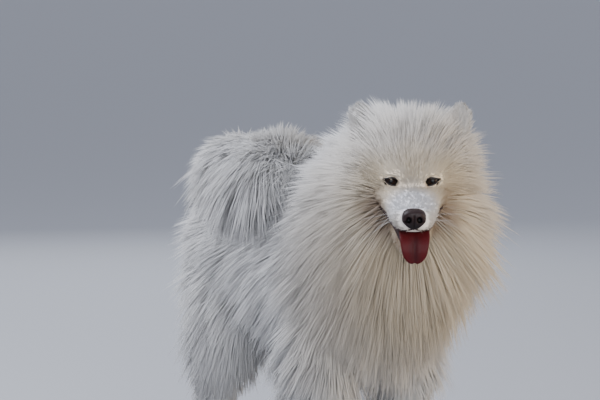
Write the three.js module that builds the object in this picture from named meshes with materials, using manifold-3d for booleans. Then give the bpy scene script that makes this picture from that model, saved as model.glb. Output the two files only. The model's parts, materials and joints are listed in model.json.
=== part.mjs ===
// A standing Samoyed dog at life size, in millimetres, +Z up. The dog faces -Y with its left side at +X,
// and its head is turned to its right. Body, head, limbs and tail are rounded forms lofted along curved
// spines. The long coat is made of flat, tapered locks rooted in those forms.
import * as THREE from "three";
import { mergeVertices } from "three/addons/utils/BufferGeometryUtils.js";
import Module from "manifold-3d";

// Driving dimensions
const gap = 0.45; // room left round a piece where a neighbour is cut clear of it
const headTurn = THREE.MathUtils.degToRad(-32); // the head looks to the dog's right
const headLift = THREE.MathUtils.degToRad(-2); // and is held level
const eyeMiddle = new THREE.Vector3(-62, -350, 630); // halfway between the eyes

// Colours and finishes
const coatWhite = { color: 0xe9e6e0, roughness: 0.9, metalness: 0 };
const noseBrown = { color: 0x2c1d1d, roughness: 0.35, metalness: 0 };
const tonguePink = { color: 0xa84a52, roughness: 0.4, metalness: 0 };
const eyeDark = { color: 0x120b08, roughness: 0.08, metalness: 0 };

const wasm = await Module();
wasm.setup();

// Helpers

// A seeded random number from 0 to 1, so that each run makes the same coat
function randomSource(seed) {
  let state = seed;
  return () => {
    state = (state + 0x6d2b79f5) | 0;
    let mixed = Math.imul(state ^ (state >>> 15), 1 | state);
    mixed = (mixed + Math.imul(mixed ^ (mixed >>> 7), 61 | mixed)) ^ mixed;
    return ((mixed ^ (mixed >>> 14)) >>> 0) / 4294967296;
  };
}

const between = (random, low, high) => low + (high - low) * random();
const vector = (x, y, z) => new THREE.Vector3(x, y, z);
const up = vector(0, 0, 1);
const radians = THREE.MathUtils.degToRad;

// A value at share t of a list, smooth through its entries
function smoothAt(values, t) {
  const place = THREE.MathUtils.clamp(t, 0, 1) * (values.length - 1);
  const i = Math.min(Math.floor(place), values.length - 2);
  const f = place - i;
  const before = values[Math.max(i - 1, 0)];
  const after = values[Math.min(i + 2, values.length - 1)];
  const [a, b] = [values[i], values[i + 1]];
  return (
    a + 0.5 * f * (b - before + f * (2 * before - 5 * a + 4 * b - after + f * (3 * (a - b) + after - before)))
  );
}

// A closed mesh from rings of points, each ring going round the same way, with a point at either end
function skinned(rings, firstPoint, lastPoint) {
  const sides = rings[0].length;
  const points = [firstPoint, ...rings.flat(), lastPoint];
  const faces = [];
  const at = (ring, side) => 1 + ring * sides + (side % sides);
  for (let side = 0; side < sides; side++) {
    faces.push(0, at(0, side + 1), at(0, side));
    faces.push(points.length - 1, at(rings.length - 1, side), at(rings.length - 1, side + 1));
    for (let ring = 0; ring + 1 < rings.length; ring++) {
      faces.push(at(ring, side), at(ring, side + 1), at(ring + 1, side));
      faces.push(at(ring, side + 1), at(ring + 1, side + 1), at(ring + 1, side));
    }
  }
  const geometry = new THREE.BufferGeometry().setFromPoints(points);
  geometry.setIndex(faces);
  return facingOut(geometry);
}

// The same mesh with its faces turned round if they point inwards
function facingOut(geometry) {
  const position = geometry.getAttribute("position");
  const faces = Array.from(geometry.index.array);
  const [a, b, c] = [vector(), vector(), vector()];
  let volume = 0;
  for (let i = 0; i < faces.length; i += 3) {
    a.fromBufferAttribute(position, faces[i]);
    b.fromBufferAttribute(position, faces[i + 1]);
    c.fromBufferAttribute(position, faces[i + 2]);
    volume += a.dot(b.cross(c));
  }
  if (volume < 0) {
    for (let i = 0; i < faces.length; i += 3) [faces[i], faces[i + 1]] = [faces[i + 1], faces[i]];
    geometry.setIndex(faces);
  }
  return geometry;
}

// A rounded form along a smooth spine. Each station is [x, y, z, side, above, below]: a point of the
// spine, and the half sizes there to either side, towards the reference direction and away from it.
class Form {
  constructor(stations, { reference = up, capShare = 0.12, squareness = 2 } = {}) {
    this.stations = stations;
    this.reference = reference;
    this.capShare = capShare;
    this.power = 2 / squareness;
  }
  spine(t) {
    return vector(...[0, 1, 2].map((k) => smoothAt(this.stations.map((s) => s[k]), t)));
  }
  size(k, t) {
    return Math.max(smoothAt(this.stations.map((s) => s[3 + k]), t), 0.5);
  }
  // Sizes shrink in a quarter circle over the first and last share of the spine
  rounding(t) {
    const near = Math.min(t, 1 - t) / this.capShare;
    return near >= 1 ? 1 : Math.sqrt(Math.max(1 - (1 - near) ** 2, 0));
  }
  axes(t) {
    const step = 0.01;
    const along = this.spine(Math.min(t + step, 1)).sub(this.spine(Math.max(t - step, 0))).normalize();
    const across = along.clone().cross(this.reference).normalize();
    return { along, across, over: across.clone().cross(along).normalize() };
  }
  // The surface point at share t of the spine and angle round it: 0 is the +across side, 90 degrees is above
  point(t, angle) {
    const { across, over } = this.axes(t);
    const high = Math.sin(angle);
    const wide = Math.cos(angle);
    const round = this.rounding(t);
    const spread = (value) => Math.sign(value) * Math.abs(value) ** this.power;
    return this.spine(t)
      .addScaledVector(across, spread(wide) * this.size(0, t) * round)
      .addScaledVector(over, spread(high) * this.size(high > 0 ? 1 : 2, t) * round);
  }
  normal(t, angle) {
    const step = 0.012;
    const low = Math.max(t - step, 0.004);
    const high = Math.min(t + step, 0.996);
    const lengthwise = this.point(high, angle).sub(this.point(low, angle));
    const round = this.point(t, angle + step * 4).sub(this.point(t, angle - step * 4));
    const out = round.cross(lengthwise).normalize();
    return out.dot(this.point(t, angle).sub(this.spine(t))) < 0 ? out.negate() : out;
  }
  geometry(rings, sides) {
    const capRings = 2;
    const shares = [];
    for (let i = 1; i <= capRings; i++) {
      shares.push(this.capShare * (1 - Math.cos((i / (capRings + 0.6)) * Math.PI * 0.5)));
    }
    const inner = Math.max(rings - 2 * capRings, 2);
    const ends = [...shares];
    for (let i = 0; i < inner; i++) {
      shares.push(this.capShare + ((1 - 2 * this.capShare) * i) / (inner - 1));
    }
    ends.reverse().forEach((t) => shares.push(1 - t));
    const loops = shares.map((t) =>
      Array.from({ length: sides }, (_, i) => this.point(t, (i / sides) * 2 * Math.PI)),
    );
    return skinned(loops, this.spine(0), this.spine(1));
  }
}

// A flat, tapered lock of hair with three sides: flat towards the skin, ridged on top, wide across the lie
// of the coat. It starts below the surface, leaves along `direction` and bends by `bend` towards its tip.
function lock({ root, normal, direction, bend, length, width, thickness, sink }) {
  const across = direction.clone().cross(normal).normalize();
  const start = root.clone().addScaledVector(normal, -sink);
  const at = (s) =>
    start.clone().addScaledVector(direction, length * s).addScaledVector(bend, length * s * s);
  const shape = [
    { s: 0.2, wide: 1, thick: 1 },
    { s: 0.68, wide: 0.74, thick: 0.62 },
  ];
  const corners = [
    [1, -0.35],
    [0, 0.65],
    [-1, -0.35],
  ];
  const loops = shape.map(({ s, wide, thick }) => {
    const middle = at(s);
    const ahead = at(s + 0.05).sub(middle).normalize();
    const over = across.clone().cross(ahead).normalize();
    return corners.map(([aside, above]) =>
      middle
        .clone()
        .addScaledVector(across, aside * wide * width * 0.5)
        .addScaledVector(over, above * thick * thickness),
    );
  });
  return skinned(loops, at(0), at(1));
}

// Locks in staggered rows over part of a form. `plan` says, at each place, how the lock lies and how big it is.
function coat(form, { rows, seed, plan }) {
  const random = randomSource(seed);
  const made = [];
  rows.forEach(({ t, from, to, count }, row) => {
    for (let i = 0; i < count; i++) {
      const share = (i + 0.5 + (row % 2 ? 0.25 : -0.25) + between(random, -0.12, 0.12)) / count;
      const place = t + between(random, -0.008, 0.008);
      const angle = radians(from + (to - from) * share);
      const root = form.point(place, angle);
      const normal = form.normal(place, angle);
      const wish = plan({ t: place, angle, root, normal, random, axes: form.axes(place) });
      if (!wish) continue;
      const lie = wish.lie.clone().addScaledVector(normal, -wish.lie.dot(normal)).normalize();
      const direction = lie.multiplyScalar(Math.cos(wish.lift)).addScaledVector(normal, Math.sin(wish.lift));
      made.push(
        lock({
          root,
          normal,
          direction,
          bend: wish.bend ?? vector(0, 0, -0.1),
          length: wish.length * between(random, 0.88, 1.12),
          width: wish.width * between(random, 0.88, 1.12),
          thickness: wish.thickness ?? 11,
          sink: wish.sink ?? 9,
        }),
      );
    }
  });
  return made;
}

// Solids

function positionsOnly(geometry) {
  const bare = geometry.index ? geometry.clone() : geometry;
  bare.deleteAttribute("normal");
  bare.deleteAttribute("uv");
  return mergeVertices(bare, 1e-3);
}

// A geometry with each point moved outwards until every face round it has moved by at least `by`
function grown(geometry, by) {
  const merged = positionsOnly(geometry);
  const position = merged.getAttribute("position");
  const faces = merged.index.array;
  const facing = Array.from({ length: position.count }, () => []);
  for (let i = 0; i < faces.length; i += 3) {
    const [a, b, c] = [0, 1, 2].map((k) => vector().fromBufferAttribute(position, faces[i + k]));
    const out = b.sub(a).cross(c.sub(a)).normalize();
    [0, 1, 2].forEach((k) => facing[faces[i + k]].push(out));
  }
  const passes = 40;
  const farthest = 6 * by;
  facing.forEach((outs, i) => {
    const shift = vector();
    for (let pass = 0; pass < passes; pass++) {
      outs.forEach((out) => shift.addScaledVector(out, Math.max(by - shift.dot(out), 0)));
    }
    shift.clampLength(0, farthest);
    position.setXYZ(i, position.getX(i) + shift.x, position.getY(i) + shift.y, position.getZ(i) + shift.z);
  });
  return merged;
}

function solidOf(geometry) {
  const merged = positionsOnly(geometry);
  const numbers = new Float32Array(merged.getAttribute("position").array);
  const triVerts = new Uint32Array(merged.index.array);
  return new wasm.Manifold(new wasm.Mesh({ numProp: 3, vertProperties: numbers, triVerts }));
}

const joined = (geometries) => wasm.Manifold.union(geometries.map(solidOf));

// Only the largest closed surface, without loose scraps or sealed hollows
function largest(solid) {
  return solid.decompose().reduce((best, body) => (body.volume() > best.volume() ? body : best));
}

function geometryOf(solid) {
  const mesh = solid.getMesh();
  const points = new Float32Array(mesh.numVert * 3);
  for (let i = 0; i < mesh.numVert; i++) {
    points.set(mesh.vertProperties.subarray(i * mesh.numProp, i * mesh.numProp + 3), i * 3);
  }
  const geometry = new THREE.BufferGeometry();
  geometry.setAttribute("position", new THREE.BufferAttribute(points, 3));
  geometry.setIndex(new THREE.BufferAttribute(new Uint32Array(mesh.triVerts), 1));
  return geometry;
}

// An ellipsoid, turned by its Euler angles
function ellipsoid(centre, radii, detail = [12, 8], turn = new THREE.Euler()) {
  const geometry = new THREE.SphereGeometry(1, ...detail);
  geometry.scale(...radii);
  geometry.applyMatrix4(new THREE.Matrix4().makeRotationFromEuler(turn));
  geometry.translate(centre.x, centre.y, centre.z);
  return positionsOnly(geometry);
}

// Torso
const torsoForm = new Form(
  [
    // x, y, z, side, above, below
    [0, -240, 430, 76, 80, 90],
    [0, -170, 442, 112, 132, 136],
    [0, -75, 448, 126, 142, 146],
    [0, 40, 452, 126, 134, 138],
    [0, 145, 460, 124, 124, 118],
    [0, 240, 462, 120, 116, 108],
    [0, 330, 452, 74, 80, 84],
  ],
  { capShare: 0.13, squareness: 2.2 },
);

// How the body coat lies: back along the spine, and down the sides
function torsoPlan({ t, angle, normal, root, random }) {
  const high = Math.sin(angle);
  const underneath = Math.max(-high, 0);
  const onTop = Math.max(high, 0);
  const underPlume = root.x < 20 && onTop > 0.5 && t > 0.5;
  if (underPlume) return null;
  return {
    lie: vector(0, 0.75, -0.75 + 0.4 * onTop - 0.5 * underneath),
    lift: radians(15 + 8 * underneath + 14 * onTop + between(random, -3, 4)),
    bend: normal.clone().multiplyScalar(-0.1).add(vector(0, 0, -0.12)),
    length: 128 - 18 * onTop - 8 * underneath,
    width: 118,
    thickness: 17,
  };
}

const torsoRows = [0.26, 0.42, 0.58, 0.74, 0.88].map((t) => ({ t, from: -85, to: 265, count: 8 }));
torsoRows.push({ t: 0.97, from: -60, to: 240, count: 4 });
const torsoLocks = coat(torsoForm, { rows: torsoRows, seed: 11, plan: torsoPlan });
const torsoPieces = [torsoForm.geometry(9, 12), ...torsoLocks];

// Neck and ruff
const neckForm = new Form(
  [
    [0, -88, 446, 102, 128, 126],
    [0, -148, 500, 122, 142, 152],
    [-5, -210, 550, 124, 128, 146],
    [-13, -258, 594, 106, 98, 118],
    [-20, -288, 630, 78, 66, 80],
  ],
  { reference: vector(0, 1, 0.6).normalize(), capShare: 0.16 },
);

// The ruff springs away from the face and falls back and down over the shoulders and chest
function ruffPlan({ normal, random }) {
  const front = THREE.MathUtils.clamp(-normal.y, 0, 1);
  const onTop = Math.max(normal.z, 0);
  return {
    lie: vector(0, 0.5 - 0.7 * front, -0.85 + 0.5 * onTop),
    lift: radians(20 + 24 * onTop + between(random, -3, 4)),
    bend: vector(0, 0, -0.2).addScaledVector(normal, -0.08),
    length: 108 + 24 * front,
    width: 104,
    thickness: 17,
  };
}

const ruffCounts = [7, 8, 8, 8, 7];
const ruffRows = [0.18, 0.34, 0.51, 0.68, 0.85].map((t, i) => ({ t, from: 0, to: 360, count: ruffCounts[i] }));
const ruffLocks = coat(neckForm, { rows: ruffRows, seed: 23, plan: ruffPlan });
const neckPieces = [neckForm.geometry(8, 12), ...ruffLocks];

// Head, in its own frame: the origin is halfway between the eyes, -Y is forward and +X is its left
const headPlace = new THREE.Matrix4()
  .makeTranslation(eyeMiddle.x, eyeMiddle.y, eyeMiddle.z)
  .multiply(new THREE.Matrix4().makeRotationZ(headTurn))
  .multiply(new THREE.Matrix4().makeRotationX(-headLift));
const placedHead = (geometry) => geometry.clone().applyMatrix4(headPlace);

const eyeRadius = 11;
const eyeCentre = (side) => vector(side * 33, 4, 0);

const skullForm = new Form(
  [
    [0, -16, -4, 32, 16, 34],
    [0, 4, 2, 54, 32, 46],
    [0, 30, 7, 72, 50, 56],
    [0, 62, 10, 82, 60, 62],
    [0, 96, 6, 78, 56, 62],
    [0, 128, 0, 52, 40, 46],
  ],
  { capShare: 0.1 },
);
const muzzleForm = new Form(
  [
    [0, 16, -20, 54, 20, 22],
    [0, -10, -26, 48, 19, 20],
    [0, -34, -35, 40, 20, 22],
    [0, -58, -44.5, 34, 20.5, 23],
    [0, -90, -53, 24, 17, 19],
  ],
  { capShare: 0.12, squareness: 2.4 },
);

// The fur of the cheeks and the crown
function headCoatPlan({ angle, normal, random }) {
  const onTop = Math.max(Math.sin(angle), 0);
  return {
    lie: vector(normal.x * 0.5, 0.7, 0.45 - 0.9 * Math.abs(Math.cos(angle))),
    lift: radians(34 + 24 * onTop + between(random, -3, 4)),
    bend: vector(0, 0, -0.1),
    length: 60 + 8 * onTop,
    width: 62,
    thickness: 13,
    sink: 7,
  };
}
const headRowCounts = [7, 7, 7, 5];
const headRows = [0.38, 0.54, 0.7, 0.86].map((t, i) => ({ t, from: -60, to: 240, count: headRowCounts[i] }));
const headLocks = coat(skullForm, { rows: headRows, seed: 37, plan: headCoatPlan });

// Lids: a thin shell over each eye with an almond slit, its outer corner raised
const lidRadius = eyeRadius + 2.2;
const lidDetail = [12, 8];
const lidShell = (side) => ellipsoid(eyeCentre(side), [lidRadius + 2, lidRadius, lidRadius], lidDetail);
const slitHalf = 12.5;
const slitHigh = 5;
const slitTilt = radians(17);
const slitDepth = 24;
function slit(side) {
  const centre = eyeCentre(side);
  const almond = new THREE.Shape();
  almond.moveTo(-slitHalf, 0);
  almond.quadraticCurveTo(-1, 2 * slitHigh, slitHalf, 0);
  almond.quadraticCurveTo(1, -2 * slitHigh, -slitHalf, 0);
  const prism = new THREE.ExtrudeGeometry(almond, { depth: slitDepth, bevelEnabled: false, curveSegments: 5 });
  prism.rotateZ(slitTilt * side);
  prism.rotateX(Math.PI / 2); // the slit's depth now runs along -Y
  prism.translate(centre.x, centre.y, centre.z);
  return positionsOnly(prism);
}

// Nose leather with two nostrils
const noseForm = new Form(
  [
    [0, -78, -44, 16, 14, 13],
    [0, -90, -45, 18.5, 15, 16],
    [0, -102, -46.5, 15, 11.5, 16],
  ],
  { capShare: 0.3, squareness: 2.3 },
);
const nostril = (side) => ellipsoid(vector(side * 8.2, -103, -47), [3.6, 7, 4.2], [8, 6]);

// Lower jaw, dropped open
const jawForm = new Form(
  [
    [0, 34, -62, 46, 14, 20],
    [0, 5, -68, 42, 14, 20],
    [0, -22, -80, 34, 13, 18],
    [0, -46, -94, 26, 11, 15],
    [0, -66, -103, 16, 9, 10],
  ],
  { capShare: 0.12, squareness: 2.3 },
);

// Tongue: over the lower front lip and down, with a groove along its middle
const tongueForm = new Form(
  [
    [0, -8, -62, 18, 4.5, 4.5],
    [1, -36, -70, 21.5, 4.5, 4.5],
    [2, -62, -81, 23.5, 4, 4],
    [2, -77, -92, 22.5, 3.6, 3.6],
    [2, -82, -105, 20, 3.2, 3.2],
    [2, -80, -120, 14.5, 2.6, 2.6],
  ],
  { reference: vector(0, -1, 1).normalize(), capShare: 0.16 },
);

// Ears: rounded triangles with a cup in front
function earPieces(side) {
  const whole = new Form(
    [
      [side * 56, 52, 40, 31, 15, 13],
      [side * 66, 53, 68, 28, 11, 10],
      [side * 77, 56, 98, 22, 8, 8],
      [side * 84, 58, 122, 14, 5, 5],
    ],
    { reference: vector(0, 1, 0), capShare: 0.2 },
  );
  const hollow = new Form(
    [
      [side * 59, 38, 48, 20, 9, 9],
      [side * 67, 42, 70, 19, 9, 8],
      [side * 76, 47, 94, 14, 7, 7],
      [side * 82, 50, 112, 8, 5, 5],
    ],
    { reference: vector(0, 1, 0), capShare: 0.2 },
  );
  return { whole: whole.geometry(7, 10), hollow: hollow.geometry(6, 8) };
}

// Legs
function foreleg(side) {
  return new Form(
    [
      [side * 56, -112, 440, 34, 50, 50],
      [side * 72, -118, 372, 44, 56, 54],
      [side * 80, -128, 300, 43, 48, 46],
      [side * 83, -142, 215, 36, 39, 37],
      [side * 84, -156, 125, 32, 33, 33],
      [side * 84, -174, 60, 31, 29, 31],
      [side * 84, -186, 24, 29, 26, 28],
    ],
    { reference: vector(0, -1, 0), capShare: 0.08 },
  );
}

function hindleg(side) {
  return new Form(
    [
      [side * 60, 196, 450, 54, 74, 88],
      [side * 78, 176, 372, 54, 78, 96],
      [side * 86, 180, 296, 46, 58, 72],
      [side * 87, 206, 228, 37, 42, 50],
      [side * 86, 234, 168, 32, 34, 38],
      [side * 86, 226, 106, 29, 28, 31],
      [side * 86, 206, 34, 29, 27, 27],
    ],
    { reference: vector(0, -1, 0), capShare: 0.08 },
  );
}

// Long hair behind the forelegs
function elbowPlan({ random }) {
  return {
    lie: vector(0, 0.25, -0.97),
    lift: radians(26 + between(random, -3, 4)),
    bend: vector(0, 0, -0.1),
    length: 70,
    width: 50,
    thickness: 11,
    sink: 7,
  };
}

// The breeches behind the thighs
function breechPlan({ t, random }) {
  return {
    lie: vector(0, 0.35, -0.94),
    lift: radians(20 + between(random, -3, 4)),
    bend: vector(0, 0, -0.12),
    length: 108 - 44 * t,
    width: 80 - 30 * t,
    thickness: 13,
    sink: 8,
  };
}

// A stretch of angles round a leg from its outer front, past the rear, to its inner rear
const outerRange = (side) => (side > 0 ? { from: -210, to: -50 } : { from: -130, to: 30 });

function forelegPieces(side) {
  const form = foreleg(side);
  const rows = [0.3, 0.42, 0.56].map((t) => ({ t, ...outerRange(side), count: 3 }));
  return [form.geometry(10, 10), ...coat(form, { rows, seed: 50 + side, plan: elbowPlan })];
}

function hindlegPieces(side) {
  const form = hindleg(side);
  const rows = [0.12, 0.27, 0.42].map((t) => ({ t, ...outerRange(side), count: 4 }));
  return [form.geometry(10, 10), ...coat(form, { rows, seed: 60 + side, plan: breechPlan })];
}

// Paws: a low pad, four toes in an arc and their claws, on a flat sole
const toePlaces = [
  // across, back
  [-23, 12],
  [-8.5, 0],
  [8.5, 0],
  [23, 12],
];
const pawApart = 170;
const padRadii = [33, 42, 26];
const toeRadii = [12, 21, 18];
const clawRadius = 3.4;
const clawLength = 15;
const clawLean = radians(118);
function pawPieces(side, toeY, heelY) {
  const x = (side * pawApart) / 2;
  const pieces = [ellipsoid(vector(x, (toeY + heelY) / 2 + 4, 24), padRadii, [8, 6])];
  toePlaces.forEach(([across, back]) => {
    pieces.push(ellipsoid(vector(x + across, toeY + 20 + back, 17), toeRadii, [6, 5]));
    const claw = new THREE.ConeGeometry(clawRadius, clawLength, 4);
    claw.rotateX(clawLean);
    claw.translate(x + across, toeY - 3 + back, 10);
    pieces.push(positionsOnly(claw));
  });
  return pieces;
}

// Tail: it rises from the croup and curls forward over the back, its plume falling on the dog's right side
const tailRoot = new Form(
  [
    [0, 286, 510, 28, 30, 28],
    [-4, 314, 556, 33, 33, 33],
    [-16, 302, 598, 35, 34, 34],
    [-30, 256, 618, 36, 34, 34],
  ],
  { reference: vector(1, 0, 0), capShare: 0.12 },
);
const tailEnd = new Form(
  [
    [-31, 252, 619, 36, 34, 34],
    [-44, 186, 628, 38, 36, 38],
    [-56, 116, 630, 38, 37, 38],
    [-66, 52, 622, 34, 33, 34],
    [-74, 4, 604, 22, 22, 22],
  ],
  { reference: vector(1, 0, 0), capShare: 0.14 },
);
function tailPlan({ root, normal, axes, random }) {
  const onTop = Math.max(normal.z, 0);
  const onRight = Math.max(-normal.x, 0);
  const behind = THREE.MathUtils.smoothstep(root.y, 230, 320);
  return {
    lie: axes.along.clone().multiplyScalar(0.9 - 0.5 * onRight).add(vector(-0.5 * onRight, 0, -0.9 * onRight)),
    lift: radians(32 - 12 * onTop - 8 * behind + between(random, -4, 4)),
    bend: vector(-0.06, 0, -0.2),
    length: 106 + 30 * onRight - 12 * behind,
    width: 92,
    thickness: 17,
    sink: 9,
  };
}
const tailRootRows = [0.3, 0.7].map((t) => ({ t, from: 0, to: 360, count: 4 }));
const tailEndRows = [0.18, 0.42, 0.66, 0.88].map((t) => ({ t, from: 10, to: 330, count: 4 }));
const tailRootLocks = coat(tailRoot, { rows: tailRootRows, seed: 71, plan: tailPlan });
const tailEndLocks = coat(tailEnd, { rows: tailEndRows, seed: 72, plan: tailPlan });

// Assembly: each part is cut clear of those placed before it, so the small ones come first
const dog = new THREE.Group();
const taken = [];
function place(name, pieces, finish, carved = []) {
  const cuts = [...taken, ...carved.map(solidOf)];
  const solid = cuts.length ? joined(pieces).subtract(wasm.Manifold.union(cuts)) : joined(pieces);
  const mesh = new THREE.Mesh(geometryOf(largest(solid)), new THREE.MeshStandardMaterial(finish));
  mesh.name = name;
  dog.add(mesh);
  taken.push(joined(pieces.map((piece) => grown(piece, gap))));
}

const sides = [
  ["left", 1],
  ["right", -1],
];
sides.forEach(([name, side]) => {
  const eye = ellipsoid(eyeCentre(side), [eyeRadius, eyeRadius, eyeRadius], [12, 8]);
  place("eye_" + name, [placedHead(eye)], eyeDark);
});
place("nose", [placedHead(noseForm.geometry(6, 10))], noseBrown, [nostril(1), nostril(-1)].map(placedHead));
sides.forEach(([name, side]) => {
  const { whole, hollow } = earPieces(side);
  place("ear_" + name, [placedHead(whole)], coatWhite, [placedHead(hollow)]);
});
const headForms = [skullForm.geometry(9, 14), muzzleForm.geometry(8, 14), lidShell(1), lidShell(-1)];
place("head", [...headForms, ...headLocks].map(placedHead), coatWhite, [slit(1), slit(-1)].map(placedHead));
place("tongue", [placedHead(tongueForm.geometry(9, 10))], tonguePink);
place("lower_jaw", [placedHead(jawForm.geometry(7, 10))], coatWhite);
place("neck", neckPieces, coatWhite);
place("tail_root", [tailRoot.geometry(7, 10), ...tailRootLocks], coatWhite);
place("tail_end", [tailEnd.geometry(8, 10), ...tailEndLocks], coatWhite);
place("torso", torsoPieces, coatWhite);

const floor = new THREE.BoxGeometry(400, 1200, 60);
floor.translate(0, 0, -30);
sides.forEach(([name, side]) => {
  place("forepaw_" + name, pawPieces(side, -234, -160), coatWhite, [floor]);
  place("hindpaw_" + name, pawPieces(side, 148, 228), coatWhite, [floor]);
  place("foreleg_" + name, forelegPieces(side), coatWhite, [floor]);
  place("hindleg_" + name, hindlegPieces(side), coatWhite, [floor]);
});

// The origin is the middle of the footprint, on the floor
const box = new THREE.Box3().setFromObject(dog);
const middle = box.getCenter(vector());
dog.children.forEach((mesh) => mesh.geometry.translate(-middle.x, -middle.y, -box.min.z));

export default dog;
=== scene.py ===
# %% [markdown]
# # A standing Samoyed
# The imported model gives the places: where the eyes, nose, ears and feet are. This lesson adds the looks:
# one smooth skin under the coat, the face, and a long white double coat made of many thin tufts. Places
# in the design are millimetres in the model's own drawing, and OFFSET carries them into the frame.

import json
import math

import bmesh
import bpy
import numpy as np
from mathutils import Matrix, Vector
from mathutils.bvhtree import BVHTree
from mathutils.kdtree import KDTree

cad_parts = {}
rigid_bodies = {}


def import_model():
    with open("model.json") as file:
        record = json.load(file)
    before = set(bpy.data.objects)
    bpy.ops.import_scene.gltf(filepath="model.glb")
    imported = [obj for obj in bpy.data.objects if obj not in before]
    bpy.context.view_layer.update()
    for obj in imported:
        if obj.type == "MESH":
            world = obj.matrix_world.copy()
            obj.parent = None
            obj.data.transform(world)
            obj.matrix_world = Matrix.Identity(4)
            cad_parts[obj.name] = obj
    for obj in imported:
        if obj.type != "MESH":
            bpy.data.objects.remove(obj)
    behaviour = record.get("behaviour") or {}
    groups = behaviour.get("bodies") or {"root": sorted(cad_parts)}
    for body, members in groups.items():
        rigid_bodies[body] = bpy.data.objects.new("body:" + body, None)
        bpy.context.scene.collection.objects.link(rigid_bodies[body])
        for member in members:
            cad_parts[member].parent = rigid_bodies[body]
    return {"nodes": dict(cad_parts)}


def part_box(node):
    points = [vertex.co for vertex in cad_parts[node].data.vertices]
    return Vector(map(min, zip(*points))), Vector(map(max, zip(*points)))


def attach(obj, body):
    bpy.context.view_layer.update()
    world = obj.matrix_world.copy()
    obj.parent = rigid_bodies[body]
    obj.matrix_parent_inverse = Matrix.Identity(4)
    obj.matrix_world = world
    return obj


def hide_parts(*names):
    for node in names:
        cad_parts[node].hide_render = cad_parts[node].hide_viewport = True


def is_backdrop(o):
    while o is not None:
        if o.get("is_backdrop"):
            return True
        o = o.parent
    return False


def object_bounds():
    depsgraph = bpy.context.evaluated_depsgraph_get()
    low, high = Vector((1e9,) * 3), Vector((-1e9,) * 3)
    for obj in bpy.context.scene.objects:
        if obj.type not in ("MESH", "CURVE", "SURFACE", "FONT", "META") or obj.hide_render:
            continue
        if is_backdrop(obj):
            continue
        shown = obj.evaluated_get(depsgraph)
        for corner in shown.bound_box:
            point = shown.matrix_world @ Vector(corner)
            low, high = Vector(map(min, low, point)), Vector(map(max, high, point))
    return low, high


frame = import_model()
cad_box = [list(corner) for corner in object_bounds()]
print("nodes:", len(frame["nodes"]))

# %% [markdown]
# The head has a frame of its own, halfway between the eyes, so that the face can be described straight on
# even though the dog looks to its right. One packed eye tells how far the drawing was moved when it was
# centred.

# %% Head frame and offset
MM = 0.001
HEAD_TURN = math.radians(-32)
HEAD_LIFT = math.radians(-2)
EYE_MIDDLE = Vector((-62, -350, 630))
EYE_APART = 66
EYE_DEPTH = 4
HEAD_AXES = (Matrix.Rotation(HEAD_TURN, 4, "Z") @ Matrix.Rotation(-HEAD_LIFT, 4, "X")).to_3x3()
left_eye = [sum(pair) / 2 for pair in zip(*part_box("eye_left"))]
OFFSET = Vector(left_eye) / MM - (EYE_MIDDLE + HEAD_AXES @ Vector((EYE_APART / 2, EYE_DEPTH, 0)))
print("offset in mm:", [round(v, 2) for v in OFFSET])


def placed(points):
    """Design millimetres, an array of points, as metres in the frame."""
    return (np.asarray(points, float) + np.array(OFFSET)) * MM


def head_placed(points):
    """Head-frame millimetres as metres in the frame."""
    turned = np.asarray(points, float) @ np.array(HEAD_AXES).T
    return placed(turned + np.array(EYE_MIDDLE))


def head_spot(x, y, z):
    """One head-frame place as a Vector in the frame."""
    return Vector(head_placed([(x, y, z)])[0])


def head_local(points):
    """Metres in the frame as head-frame millimetres."""
    moved = np.asarray(points, float) / MM - np.array(OFFSET) - np.array(EYE_MIDDLE)
    return moved @ np.array(HEAD_AXES)


# %% [markdown]
# The camera comes first. The photograph was taken from low down, at the dog's right front, with a long
# lens. The point between the eyes falls on a known pixel, and the frame cuts the legs off.

# %% Camera
PICTURE_WIDTH = 600
PICTURE_HEIGHT = 400
EYES_PIXEL = (411.5, 181)
CAMERA_AZIMUTH = math.radians(-32)
CAMERA_HEIGHT_ANGLE = math.radians(6)
CAMERA_DISTANCE = 3.9
METRES_PER_PIXEL = 0.00158
SENSOR_WIDTH = 36


def add_camera():
    level = math.cos(CAMERA_HEIGHT_ANGLE)
    x = math.sin(CAMERA_AZIMUTH) * level
    y = -math.cos(CAMERA_AZIMUTH) * level
    back = Vector((x, y, math.sin(CAMERA_HEIGHT_ANGLE)))
    right = Vector((math.cos(CAMERA_AZIMUTH), math.sin(CAMERA_AZIMUTH), 0))
    up = back.cross(right)
    target = head_spot(0, 0, 0)
    aside = (EYES_PIXEL[0] - PICTURE_WIDTH / 2) * METRES_PER_PIXEL
    above = (PICTURE_HEIGHT / 2 - EYES_PIXEL[1]) * METRES_PER_PIXEL
    data = bpy.data.cameras.new("camera")
    data.sensor_width = SENSOR_WIDTH
    data.lens = CAMERA_DISTANCE / METRES_PER_PIXEL / PICTURE_WIDTH * SENSOR_WIDTH
    camera = bpy.data.objects.new("camera", data)
    axes = Matrix((right, up, back)).transposed().to_4x4()
    place = target + back * CAMERA_DISTANCE - right * aside - up * above
    camera.matrix_world = Matrix.Translation(place) @ axes
    bpy.context.collection.objects.link(camera)
    bpy.context.scene.camera = camera
    return camera


camera = add_camera()
print("lens in mm:", round(camera.data.lens, 1))

# %% [markdown]
# A few tools for meshes: to make an object, to read and move its points, and to apply modifiers.

# %% Mesh tools


def object_from(name, mesh):
    data = bpy.data.meshes.new(name)
    mesh.to_mesh(data)
    mesh.free()
    made = bpy.data.objects.new(name, data)
    bpy.context.collection.objects.link(made)
    return made


def say(made):
    print(made.name, "faces:", len(made.data.polygons))


def dress(made, material):
    """Give an object its material, with smooth shading."""
    made.data.shade_smooth()
    made.data.materials.append(material)
    say(made)


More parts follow.
